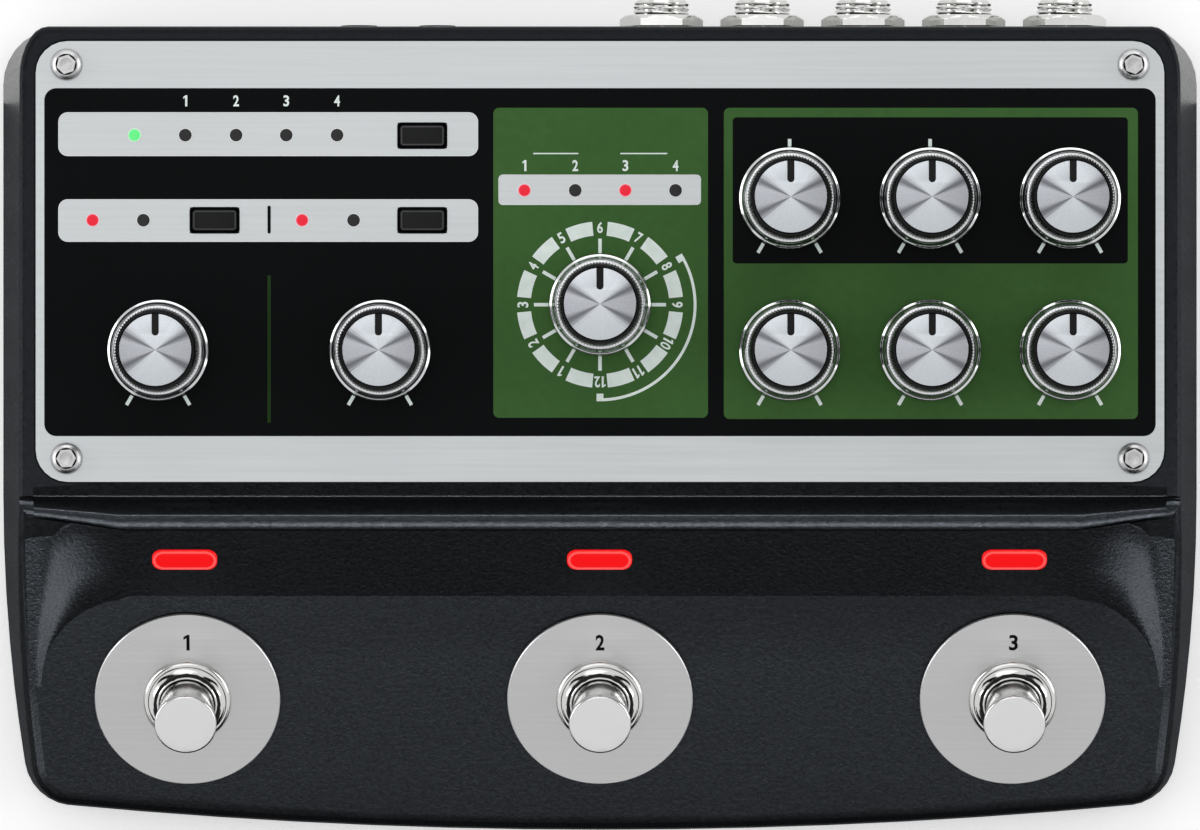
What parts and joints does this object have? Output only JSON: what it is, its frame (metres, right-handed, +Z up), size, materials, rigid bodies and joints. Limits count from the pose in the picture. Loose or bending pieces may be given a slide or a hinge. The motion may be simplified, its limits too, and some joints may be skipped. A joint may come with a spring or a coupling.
{
  "type": "echo effects pedal",
  "caption": "Desktop echo effects unit: cast black housing with a raised silver control panel, round knobs, push buttons, footswitches on a sloping front and jacks at the rear.",
  "frame": {"origin": "on the desk, under the middle of the whole unit", "axes": "+X to the right as the player sees it, +Y to the rear where the jacks are, +Z up"},
  "size_m": [0.1918, 0.1326, 0.052],
  "materials": {
    "cast_housing": "fine textured black powder coat on a cast housing",
    "silver_plate": "satin silver sheet with printed black and green fields",
    "cover_steel": "black painted sheet steel",
    "circuit_board": "green solder mask",
    "foot_rubber": "matt black rubber",
    "screw_steel": "bright plated steel",
    "knob_plastic": "satin black moulded plastic",
    "spun_disc": "spun aluminium with fine turning rings",
    "button_plastic": "black moulded plastic",
    "jack_plastic": "black moulded plastic",
    "bright_nickel": "bright nickel plate",
    "switch_metal": "plain plated steel",
    "red_lens": "glossy translucent red plastic"
  },
  "bodies": {
    "chassis": {"housing": "cast_housing", "face_plate": "silver_plate", "bottom_cover": "cover_steel", "panel_board": "circuit_board", "main_board": "circuit_board", "foot_rear_left": "foot_rubber", "foot_rear_right": "foot_rubber", "foot_front_left": "foot_rubber", "foot_front_right": "foot_rubber", "panel_screw_1": "screw_steel", "panel_screw_2": "screw_steel", "panel_screw_3": "screw_steel", "panel_screw_4": "screw_steel", "jack_1": "jack_plastic", "jack_nut_1": "bright_nickel", "jack_2": "jack_plastic", "jack_nut_2": "bright_nickel", "jack_3": "jack_plastic", "jack_nut_3": "bright_nickel", "jack_4": "jack_plastic", "jack_nut_4": "bright_nickel", "jack_5": "jack_plastic", "jack_nut_5": "bright_nickel", "power_socket": "jack_plastic", "left_footswitch_body": "switch_metal", "left_foot_plate": "silver_plate", "left_foot_nut": "bright_nickel", "left_lens": "red_lens", "middle_footswitch_body": "switch_metal", "middle_foot_plate": "silver_plate", "middle_foot_nut": "bright_nickel", "middle_lens": "red_lens", "right_footswitch_body": "switch_metal", "right_foot_plate": "silver_plate", "right_foot_nut": "bright_nickel", "right_lens": "red_lens"},
    "saturation_knob": {"saturation_knob": "knob_plastic", "saturation_knob_disc": "spun_disc"},
    "wow_knob": {"wow_knob": "knob_plastic", "wow_knob_disc": "spun_disc"},
    "mode_knob": {"mode_knob": "knob_plastic", "mode_knob_disc": "spun_disc"},
    "bass_knob": {"bass_knob": "knob_plastic", "bass_knob_disc": "spun_disc"},
    "treble_knob": {"treble_knob": "knob_plastic", "treble_knob_disc": "spun_disc"},
    "reverb_volume_knob": {"reverb_volume_knob": "knob_plastic", "reverb_volume_knob_disc": "spun_disc"},
    "repeat_knob": {"repeat_knob": "knob_plastic", "repeat_knob_disc": "spun_disc"},
    "intensity_knob": {"intensity_knob": "knob_plastic", "intensity_knob_disc": "spun_disc"},
    "echo_volume_knob": {"echo_volume_knob": "knob_plastic", "echo_volume_knob_disc": "spun_disc"},
    "memory_button": {"memory_button": "button_plastic"},
    "input_button": {"input_button": "button_plastic"},
    "tape_button": {"tape_button": "button_plastic"},
    "left_plunger": {"left_plunger": "bright_nickel"},
    "middle_plunger": {"middle_plunger": "bright_nickel"},
    "right_plunger": {"right_plunger": "bright_nickel"}
  },
  "joints": [
    {"name": "saturation_turn", "type": "hinge", "parent": "chassis", "child": "saturation_knob", "pos_m": [-0.06957, 0.01052, 0.0402], "axis": [0, 0, 1], "range_deg": [-150, 150]},
    {"name": "wow_turn", "type": "hinge", "parent": "chassis", "child": "wow_knob", "pos_m": [-0.03465, 0.01052, 0.0402], "axis": [0, 0, 1], "range_deg": [-150, 150]},
    {"name": "mode_turn", "type": "hinge", "parent": "chassis", "child": "mode_knob", "pos_m": [0, 0.0177, 0.0402], "axis": [0, 0, 1], "range_deg": [-180, 150]},
    {"name": "bass_turn", "type": "hinge", "parent": "chassis", "child": "bass_knob", "pos_m": [0.02985, 0.03449, 0.0402], "axis": [0, 0, 1], "range_deg": [-150, 150]},
    {"name": "treble_turn", "type": "hinge", "parent": "chassis", "child": "treble_knob", "pos_m": [0.05198, 0.03449, 0.0402], "axis": [0, 0, 1], "range_deg": [-150, 150]},
    {"name": "reverb_volume_turn", "type": "hinge", "parent": "chassis", "child": "reverb_volume_knob", "pos_m": [0.07401, 0.03449, 0.0402], "axis": [0, 0, 1], "range_deg": [-150, 150]},
    {"name": "repeat_turn", "type": "hinge", "parent": "chassis", "child": "repeat_knob", "pos_m": [0.02985, 0.01052, 0.0402], "axis": [0, 0, 1], "range_deg": [-150, 150]},
    {"name": "intensity_turn", "type": "hinge", "parent": "chassis", "child": "intensity_knob", "pos_m": [0.05198, 0.01052, 0.0402], "axis": [0, 0, 1], "range_deg": [-150, 150]},
    {"name": "echo_volume_turn", "type": "hinge", "parent": "chassis", "child": "echo_volume_knob", "pos_m": [0.07401, 0.01052, 0.0402], "axis": [0, 0, 1], "range_deg": [-150, 150]},
    {"name": "memory_press", "type": "slide", "parent": "chassis", "child": "memory_button", "axis": [0, 0, -1], "range_m": [0, 0.0005], "stiffness_N_per_m": 200},
    {"name": "input_press", "type": "slide", "parent": "chassis", "child": "input_button", "axis": [0, 0, -1], "range_m": [0, 0.0005], "stiffness_N_per_m": 200},
    {"name": "tape_press", "type": "slide", "parent": "chassis", "child": "tape_button", "axis": [0, 0, -1], "range_m": [0, 0.0005], "stiffness_N_per_m": 200},
    {"name": "left_stomp", "type": "slide", "parent": "chassis", "child": "left_plunger", "axis": [0, 0.3907, -0.9205], "range_m": [0, 0.0025], "stiffness_N_per_m": 600},
    {"name": "middle_stomp", "type": "slide", "parent": "chassis", "child": "middle_plunger", "axis": [0, 0.3907, -0.9205], "range_m": [0, 0.0025], "stiffness_N_per_m": 600},
    {"name": "right_stomp", "type": "slide", "parent": "chassis", "child": "right_plunger", "axis": [0, 0.3907, -0.9205], "range_m": [0, 0.0025], "stiffness_N_per_m": 600}
  ]
}
